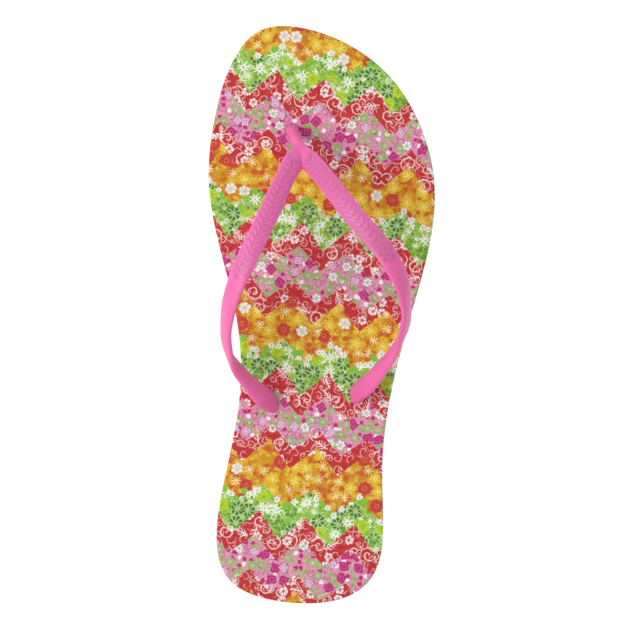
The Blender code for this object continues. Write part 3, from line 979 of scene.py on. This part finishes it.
def motif(name, inside):
    """A motif's group. Inside builds its depth in mm from the group's sockets."""
    tree, sockets = new_group(name, "ShaderNodeTree", {
        "Across": (FLOAT, 0.0), "Along": (FLOAT, 0.0), "Radius": (FLOAT, 0.0),
        "Angle": (FLOAT, 0.0), "Size": (FLOAT, 3.0), "Count": (FLOAT, 5.0),
        "Line": (FLOAT, 0.5)}, {"Mask": FLOAT})
    depth = inside(tree, sockets)
    mask = add(tree, MATH, {0: depth, 1: 1 / INK_EDGE, 2: 0.5}, operation="MULTIPLY_ADD",
               use_clamp=True)
    add(tree, "NodeGroupOutput", {"Mask": mask})
    return tree


def petal_wave(tree, into):
    """1 along the middle of each petal and 0 between two of them."""
    half = add(tree, MATH, {0: into["Count"], 1: 0.5}, operation="MULTIPLY")
    swing = add(tree, MATH, {0: into["Angle"], 1: half}, operation="MULTIPLY")
    wave = add(tree, MATH, {0: swing}, operation="COSINE")
    return add(tree, MATH, {0: wave}, operation="ABSOLUTE")


def within_petals(tree, into, power):
    """Depth inside a flower. Line is how deep the gaps between its petals reach, as a share."""
    full = add(tree, MATH, {0: petal_wave(tree, into), 1: power}, operation="POWER")
    lack = add(tree, MATH, {0: 1.0, 1: full}, operation="SUBTRACT")
    bite = add(tree, MATH, {0: lack, 1: into["Line"]}, operation="MULTIPLY")
    share = add(tree, MATH, {0: 1.0, 1: bite}, operation="SUBTRACT")
    reach = add(tree, MATH, {0: share, 1: into["Size"]}, operation="MULTIPLY")
    return add(tree, MATH, {0: reach, 1: into["Radius"]}, operation="SUBTRACT")


def blossom(tree, into):
    """Round petals."""
    return within_petals(tree, into, ROUND_PETAL)


def burst(tree, into):
    """Narrow rays."""
    return within_petals(tree, into, NARROW_RAY)


def petals(tree, into):
    """A blossom whose petals are parted by gaps as wide as the line."""
    wave = petal_wave(tree, into)
    arc = add(tree, MATH, {0: wave, 1: into["Radius"]}, operation="MULTIPLY")
    to_gap = add(tree, MATH, {0: arc, 1: into["Count"]}, operation="DIVIDE")
    gap = add(tree, MATH, {0: into["Line"], 1: 0.25}, operation="MULTIPLY")
    parted = add(tree, MATH, {0: to_gap, 1: gap}, operation="SUBTRACT")
    doubled = add(tree, MATH, {0: parted, 1: 2.0}, operation="MULTIPLY")
    tip = add(tree, MATH, {0: wave, 1: PETAL_TIP, 2: 1 - PETAL_TIP}, operation="MULTIPLY_ADD")
    reach = add(tree, MATH, {0: tip, 1: into["Size"]}, operation="MULTIPLY")
    within = add(tree, MATH, {0: reach, 1: into["Radius"]}, operation="SUBTRACT")
    return add(tree, MATH, {0: doubled, 1: within}, operation="MINIMUM")


def square_measure(tree, into):
    """The larger of the two distances from the middle, which is level along a square."""
    x = add(tree, MATH, {0: into["Across"]}, operation="ABSOLUTE")
    y = add(tree, MATH, {0: into["Along"]}, operation="ABSOLUTE")
    return add(tree, MATH, {0: x, 1: y}, operation="MAXIMUM")


def dot(tree, into):
    """A round face."""
    return add(tree, MATH, {0: into["Size"], 1: into["Radius"]}, operation="SUBTRACT")


def square(tree, into):
    """A square face."""
    return add(tree, MATH, {0: into["Size"], 1: square_measure(tree, into)},
               operation="SUBTRACT")


def within_line(tree, into, away):
    """Depth inside a line of the group's width, from the distance to its middle."""
    half = add(tree, MATH, {0: into["Line"], 1: 0.5}, operation="MULTIPLY")
    return add(tree, MATH, {0: half, 1: away}, operation="SUBTRACT")


def line_around(tree, into, measure):
    """A line where a measure equals the size."""
    off = add(tree, MATH, {0: measure, 1: into["Size"]}, operation="SUBTRACT")
    return within_line(tree, into, add(tree, MATH, {0: off}, operation="ABSOLUTE"))


def ring(tree, into):
    """A round line."""
    return line_around(tree, into, into["Radius"])


def square_outline(tree, into):
    """A square line."""
    return line_around(tree, into, square_measure(tree, into))


def repeated_line(tree, into, steps):
    """A line midway between whole steps. Count is the length of a step."""
    phase = add(tree, MATH, {0: steps}, operation="FRACT")
    off = add(tree, MATH, {0: phase, 1: 0.5}, operation="SUBTRACT")
    share = add(tree, MATH, {0: off}, operation="ABSOLUTE")
    away = add(tree, MATH, {0: share, 1: into["Count"]}, operation="MULTIPLY")
    return within_line(tree, into, away)


def curl(tree, into):
    """A spiral line. Count is the distance between its turns."""
    share = add(tree, MATH, {0: into["Angle"], 1: 2 * math.pi}, operation="DIVIDE")
    turns = add(tree, MATH, {0: into["Radius"], 1: into["Count"]}, operation="DIVIDE")
    wound = add(tree, MATH, {0: turns, 1: share}, operation="SUBTRACT")
    return add(tree, MATH, {0: repeated_line(tree, into, wound), 1: dot(tree, into)},
               operation="MINIMUM")


def sprig(tree, into):
    """A stem with slanting leaves. Count is the distance between the leaves."""
    beside = add(tree, MATH, {0: into["Across"]}, operation="ABSOLUTE")
    along = add(tree, MATH, {0: into["Along"]}, operation="ABSOLUTE")
    left = add(tree, MATH, {0: into["Size"], 1: along}, operation="SUBTRACT")
    slanted = add(tree, MATH, {0: beside, 1: -LEAF_SLANT, 2: into["Along"]},
                  operation="MULTIPLY_ADD")
    steps = add(tree, MATH, {0: slanted, 1: into["Count"]}, operation="DIVIDE")
    spread = add(tree, MATH, {0: left, 1: LEAF_TAPER}, operation="MULTIPLY")
    within = add(tree, MATH, {0: spread, 1: beside}, operation="SUBTRACT")
    leaves = add(tree, MATH, {0: repeated_line(tree, into, steps), 1: within},
                 operation="MINIMUM")
    drawn = add(tree, MATH, {0: within_line(tree, into, beside), 1: leaves},
                operation="MAXIMUM")
    return add(tree, MATH, {0: drawn, 1: left}, operation="MINIMUM")


MOTIFS = {rule.__name__: motif(rule.__name__, rule)
          for rule in (blossom, petals, burst, ring, dot, square, square_outline, curl, sprig)}
print("motifs:", ", ".join(MOTIFS))

# %% [markdown]
# The bands follow one zigzag line that repeats. Down the sandal come orange, green, red,
# pink and red again. A band ends where the point's place across the bands, less the
# zigzag's height there, passes the band's limit.

# %% Bands of the print
PRINT_SLANT = math.radians(8.7)
ZIGZAG_PERIOD = 21.35
ZIGZAG_PEAK = 6.9            # where a peak lies across the slanted print
BAND_CYCLE = 64.4
CYCLE_START = -9.0           # the middle of an orange band
BANDS = (
    # colour, where the band ends above the cycle's start, zigzag height of that end
    ("orange",   9.5,  11.0),
    ("red",     17.5,   9.4),
    ("pink",    32.7,   9.7),
    ("red",     42.5,  12.0),
    ("green",   55.6,   8.5),
)
FRINGE_REACH = 1.6           # small blossoms keep this close to the green band's toe-side end

band_tree, into = new_group("print_bands", "ShaderNodeTree",
                            {"Place": (VECTOR, None)},
                            {"orange": FLOAT, "green": FLOAT, "red": FLOAT, "pink": FLOAT,
                             "fringe": FLOAT})
parts = add(band_tree, "ShaderNodeSeparateXYZ", {0: into["Place"]})
from_valley = add(band_tree, MATH, {0: parts.outputs["X"], 1: ZIGZAG_PERIOD / 2 - ZIGZAG_PEAK},
                  operation="ADD")
climb = add(band_tree, MATH, {0: from_valley, 1: ZIGZAG_PERIOD / 2}, operation="PINGPONG")
zigzag = add(band_tree, MATH, {0: climb, 1: 2 / ZIGZAG_PERIOD, 2: -0.5},
             operation="MULTIPLY_ADD")
from_start = add(band_tree, MATH, {0: parts.outputs["Y"], 1: CYCLE_START},
                 operation="SUBTRACT")
height_in_cycle = add(band_tree, MATH, {0: from_start, 1: BAND_CYCLE}, operation="FLOORED_MODULO")
past = []
for _, limit, swing in BANDS:
    edge = add(band_tree, MATH, {0: zigzag, 1: swing, 2: limit}, operation="MULTIPLY_ADD")
    past.append(add(band_tree, MATH, {0: height_in_cycle, 1: edge}, operation="GREATER_THAN"))
fringe = add(band_tree, MATH, {0: height_in_cycle, 1: edge, 2: FRINGE_REACH},
             operation="COMPARE")
inside = {"orange": add(band_tree, MATH, {0: 1.0, 1: past[0]}, operation="SUBTRACT")}
for (name, _, _), lower, upper in zip(BANDS[1:], past, past[1:]):
    mask = add(band_tree, MATH, {0: lower, 1: upper}, operation="SUBTRACT", use_clamp=True)
    inside[name] = (add(band_tree, MATH, {0: inside[name], 1: mask}, operation="MAXIMUM")
                    if name in inside else mask)
inside["orange"] = add(band_tree, MATH, {0: inside["orange"], 1: past[-1]},
                       operation="MAXIMUM")
add(band_tree, "NodeGroupOutput", {**inside, "fringe": fringe})

# %% [markdown]
# The print's plan is made of two tables. The first lists lattices of cells, coarse ones
# for the large flowers and fine ones for what fills the spaces. The second has a row for
# each layer of ink, from the lowest to the uppermost: a cell of its lattice draws it when
# the cell's chance lies between the row's two limits, so one cell draws one flower. Most
# motifs are cut where their band ends, as on a patchwork. The others belong to the band
# in which their middle lies, so whole blossoms hang over its edge.

# %% The print's plan
THREAD_SPACING, FLECK = 0.9, 0.16    # uneven ink on the threads: spacing in mm, and how much
WEAVE_SPACING = 1.25         # mm, coarser than the real weave, so that it shows
WOBBLE, WOBBLE_SPACING = 0.7, 2.0    # mm: how far shapes drift from their rule, and how fast
GROUND_INKS = {
    # band: two mottled inks, size of the mottling in mm
    "orange": ("BE661A", "D3A624", 3.0),
    "green": ("69A12C", "9CC34A", 2.2),
    "red": ("AE2229", "C8393C", 2.2),
    "pink": ("CE7599", "E3A3B8", 2.0),
}
LATTICES = {
    # name: cell spacing in mm, shift, spread of the middles, cut at the band's edge
    "orange_small": (2.4, 3.0, 0.9, False),
    "orange_large": (6.4, 11.0, 0.6, True),
    "green_lace": (1.8, 17.0, 0.9, True),
    "green_small": (3.0, 21.0, 0.8, False),
    "green_large": (6.4, 33.0, 0.5, True),
    "red_tendril": (5.2, 37.0, 0.7, True),
    "red_small": (4.4, 41.0, 0.7, True),
    "red_vine": (7.2, 53.0, 0.6, False),
    "pink_small": (2.7, 61.0, 0.7, True),
    "pink_large": (5.2, 73.0, 0.5, True),
    "fringe": (3.2, 81.0, 0.7, False),
}
INK_LAYERS = (
    # band,   lattice,        motif,           size, count, line, from, to,   ink
    ("orange", "orange_small", "burst",          1.4,  6.0, 0.80, 0.00, 0.30, "E2C64F"),
    ("orange", "orange_small", "blossom",        1.4,  5.0, 0.40, 0.30, 0.60, "C45E2A"),
    ("orange", "orange_small", "blossom",        1.3,  5.0, 0.40, 0.60, 0.75, "DBA92C"),
    ("orange", "orange_large", "blossom",        3.4,  5.0, 0.40, 0.00, 0.36, "D6B02B"),
    ("orange", "orange_large", "burst",          2.2,  7.0, 0.85, 0.00, 0.36, "EFD873"),
    ("orange", "orange_large", "blossom",        3.1,  8.0, 0.20, 0.36, 0.52, "A93433"),
    ("orange", "orange_large", "petals",         3.0,  8.0, 0.30, 0.36, 0.52, "C8403C"),
    ("orange", "orange_large", "ring",           0.8,  1.0, 0.45, 0.36, 0.52, "D8743A"),
    ("orange", "orange_large", "blossom",        2.6,  6.0, 0.35, 0.52, 0.64, "C3BBAA"),
    ("orange", "orange_large", "petals",         2.6,  6.0, 0.35, 0.52, 0.64, "E8E5DA"),
    ("orange", "orange_large", "burst",          2.2,  8.0, 0.85, 0.64, 0.90, "F0E0A6"),
    ("green", "green_lace",    "ring",           0.7,  1.0, 0.28, 0.00, 0.60, "C3DB96"),
    ("green", "green_lace",    "dot",            0.6,  1.0, 0.00, 0.60, 0.90, "5A9130"),
    ("green", "green_small",   "burst",          1.7,  6.0, 0.60, 0.00, 0.30, "DEE8C8"),
    ("green", "green_small",   "blossom",        1.5,  5.0, 0.40, 0.30, 0.55, "8DBD3A"),
    ("green", "green_small",   "petals",         1.3,  6.0, 0.30, 0.55, 0.66, "E0E8D0"),
    ("green", "green_large",   "blossom",        3.3,  8.0, 0.12, 0.00, 0.26, "BFD8A0"),
    ("green", "green_large",   "petals",         3.2,  8.0, 0.32, 0.00, 0.26, "477A22"),
    ("green", "green_large",   "burst",          1.3,  8.0, 0.80, 0.00, 0.26, "9DC077"),
    ("green", "green_large",   "blossom",        3.0,  5.0, 0.35, 0.26, 0.40, "AFCB2B"),
    ("green", "green_large",   "burst",          1.6,  5.0, 0.80, 0.26, 0.40, "8FAE2A"),
    ("green", "green_large",   "burst",          3.0,  8.0, 0.62, 0.40, 0.74, "E6ECD8"),
    ("green", "green_large",   "dot",            0.5,  1.0, 0.00, 0.40, 0.74, "9BB7B0"),
    ("green", "green_large",   "petals",         2.8,  7.0, 0.40, 0.74, 0.88, "5F9432"),
    ("red", "red_tendril",     "curl",           2.7,  2.9, 0.36, 0.00, 0.85, "E2ADA6"),
    ("red", "red_small",       "curl",           1.9,  1.5, 0.34, 0.00, 0.45, "E4B7B0"),
    ("red", "red_small",       "blossom",        2.0,  6.0, 0.20, 0.45, 0.62, "C4707A"),
    ("red", "red_small",       "petals",         2.0,  6.0, 0.35, 0.45, 0.62, "EEE7E3"),
    ("red", "red_small",       "dot",            0.5,  1.0, 0.00, 0.45, 0.62, "A8505C"),
    ("red", "red_vine",        "curl",           3.7,  2.4, 0.42, 0.00, 0.60, "EFDAD3"),
    ("red", "red_vine",        "sprig",          3.5,  1.5, 0.45, 0.60, 0.82, "EEDFDA"),
    ("pink", "pink_small",     "square",         0.9,  1.0, 0.00, 0.00, 0.24, "B9296E"),
    ("pink", "pink_small",     "ring",           0.9,  1.0, 0.60, 0.24, 0.42, "8FB46B"),
    ("pink", "pink_small",     "dot",            0.9,  1.0, 0.00, 0.42, 0.54, "F1EAEE"),
    ("pink", "pink_small",     "square_outline", 1.1,  1.0, 0.28, 0.54, 0.80, "A04B8A"),
    ("pink", "pink_small",     "blossom",        1.1,  5.0, 0.30, 0.80, 0.92, "7FB447"),
    ("pink", "pink_large",     "ring",           1.6,  1.0, 0.95, 0.00, 0.32, "8CB468"),
    ("pink", "pink_large",     "blossom",        0.7,  4.0, 0.50, 0.00, 0.32, "B3C39A"),
    ("pink", "pink_large",     "square",         1.9,  1.0, 0.00, 0.32, 0.48, "B6246E"),
    ("pink", "pink_large",     "square_outline", 0.9,  1.0, 0.28, 0.32, 0.48, "CC62A6"),
    ("pink", "pink_large",     "square",         1.7,  1.0, 0.00, 0.48, 0.63, "DFBCD2"),
    ("pink", "pink_large",     "square_outline", 1.7,  1.0, 0.28, 0.48, 0.63, "AE528A"),
    ("pink", "pink_large",     "square_outline", 0.8,  1.0, 0.28, 0.48, 0.63, "B878A6"),
    ("pink", "pink_large",     "blossom",        2.0,  6.0, 0.25, 0.63, 0.75, "9DB493"),
    ("pink", "pink_large",     "petals",         1.9,  6.0, 0.35, 0.63, 0.75, "F0EBEE"),
    ("fringe", "fringe",       "blossom",        1.7,  5.0, 0.35, 0.65, 1.00, "7DB93C"),
    ("fringe", "fringe",       "burst",          1.9,  8.0, 0.50, 0.00, 0.50, "EDF0E8"),
    ("fringe", "fringe",       "dot",            0.5,  1.0, 0.00, 0.00, 0.50, "A7BE9E"),
)
LAYER_COLUMNS = ("band", "lattice", "motif", "size", "count", "line", "from", "to", "ink")
print(len(LATTICES), "lattices and", len(INK_LAYERS), "layers of ink")


# %% Lay the inks
def print_ground(tree, place, bands):
    """The two mottled inks of each band."""
    colour = linear("FFFFFF")
    for band, (first, second, size) in GROUND_INKS.items():
        clouds = add(tree, "ShaderNodeTexNoise",
                     {"Vector": place, "Scale": 1 / size, "Detail": 4.0, "Roughness": 0.75})
        share = add(tree, "ShaderNodeMapRange", {"Value": clouds, "From Min": 0.35,
                                                 "From Max": 0.65})
        mottled = add(tree, MIX, {0: share, COLOUR_A: linear(first), COLOUR_B: linear(second)},
                      data_type="RGBA")
        colour = add(tree, MIX, {0: bands.outputs[band], COLOUR_A: colour,
                                 COLOUR_B: mottled.outputs[MIXED_COLOUR]},
                     data_type="RGBA").outputs[MIXED_COLOUR]
    return colour


def print_cells(tree, place, bands):
    """The cells of each lattice, and the bands that say where its motifs grow."""
    cells, homes = {}, {}
    for name, (spacing, shift, spread, cut_at_edge) in LATTICES.items():
        cells[name] = add(tree, "ShaderNodeGroup", node_tree=cell_tree)
        tree.links.new(place.outputs[0], cells[name].inputs["Place"])
        for label, value in (("Spacing", spacing), ("Shift", shift), ("Spread", spread)):
            cells[name].inputs[label].default_value = value
        homes[name] = bands
        if not cut_at_edge:
            homes[name] = add(tree, "ShaderNodeGroup", node_tree=band_tree)
            tree.links.new(cells[name].outputs["Middle"], homes[name].inputs["Place"])
    return cells, homes


def print_motifs(tree, cells, homes, colour):
    """Every layer of ink over the ground, in the order of the table."""
    for row in INK_LAYERS:
        layer = dict(zip(LAYER_COLUMNS, row))
        cell = cells[layer["lattice"]]
        shape = add(tree, "ShaderNodeGroup", node_tree=MOTIFS[layer["motif"]])
        for name in ("Across", "Along", "Radius", "Angle"):
            tree.links.new(cell.outputs[name], shape.inputs[name])
        for name in ("size", "count", "line"):
            shape.inputs[name.capitalize()].default_value = layer[name]
        chosen = add(tree, MATH, {0: cell.outputs["Chance"], 1: (layer["from"] + layer["to"]) / 2,
                                  2: (layer["to"] - layer["from"]) / 2}, operation="COMPARE")
        here = add(tree, MATH, {0: chosen, 1: homes[layer["lattice"]].outputs[layer["band"]]},
                   operation="MULTIPLY")
        mask = add(tree, MATH, {0: here, 1: shape}, operation="MULTIPLY")
        colour = add(tree, MIX, {0: mask, COLOUR_A: colour, COLOUR_B: linear(layer["ink"])},
                     data_type="RGBA").outputs[MIXED_COLOUR]
    return colour


def printed_cloth():
    """Polyester cloth: matt, with ink that lies a little unevenly on its threads."""
    made, tree, shader, in_mm = new_material("printed_polyester_on_foam", 0.8, 0.3)
    level = add(tree, "ShaderNodeMapping", {"Vector": in_mm, "Rotation": (0, 0, PRINT_SLANT),
                                            "Scale": (1, 1, 0)})
    drift = add(tree, "ShaderNodeTexNoise", {"Vector": level, "Scale": 1 / WOBBLE_SPACING,
                                             "Detail": 2.0})
    centred = add(tree, "ShaderNodeVectorMath", {0: drift.outputs["Color"], 1: (0.5, 0.5, 0.5)},
                  operation="SUBTRACT")
    place = add(tree, "ShaderNodeVectorMath", {0: centred, 1: (2 * WOBBLE, 2 * WOBBLE, 0),
                                               2: level}, operation="MULTIPLY_ADD")
    bands = add(tree, "ShaderNodeGroup", node_tree=band_tree)
    tree.links.new(level.outputs[0], bands.inputs["Place"])
    cells, homes = print_cells(tree, place, bands)
    colour = print_motifs(tree, cells, homes, print_ground(tree, place, bands))
    threads = add(tree, "ShaderNodeTexNoise", {"Vector": place, "Scale": 1 / THREAD_SPACING,
                                               "Detail": 1.0, "Roughness": 0.6})
    fleck = add(tree, "ShaderNodeMapRange", {"Value": threads, "From Min": 0.3, "From Max": 0.7,
                                             "To Min": 1 - FLECK, "To Max": 1 + FLECK})
    worn = add(tree, "ShaderNodeVectorMath", {0: colour, "Scale": fleck}, operation="SCALE")
    tree.links.new(worn.outputs[0], shader.inputs["Base Color"])
    weave = add(tree, "ShaderNodeTexVoronoi", {"Vector": place, "Scale": 1 / WEAVE_SPACING})
    emboss(tree, shader, weave, 0.1)
    return made


# %% [markdown]
# ## Assembly
# Each piece rides on the one body with the finish it was made with. Three of them stand
# for a solid, which is hidden, and the grain only lies on the strap.

# %% Make the pieces
strap_finish = satin_pvc()
outsole = make_outsole(blown_rubber())
footbed = make_footbed(printed_cloth(), cut_foam())
strap = make_strap(strap_finish)
grain = make_grain(strap_finish)

for piece, node, slot in ((outsole, "outsole", "outsole_rubber"),
                          (footbed, "footbed", "printed_footbed"),
                          (strap, "strap", "strap_rubber"),
                          (grain, None, "strap_rubber")):
    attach(piece, "root")
    if node:
        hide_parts(node)
    print(piece.name, sum(len(face.vertices) - 2 for face in piece.data.polygons), "triangles")
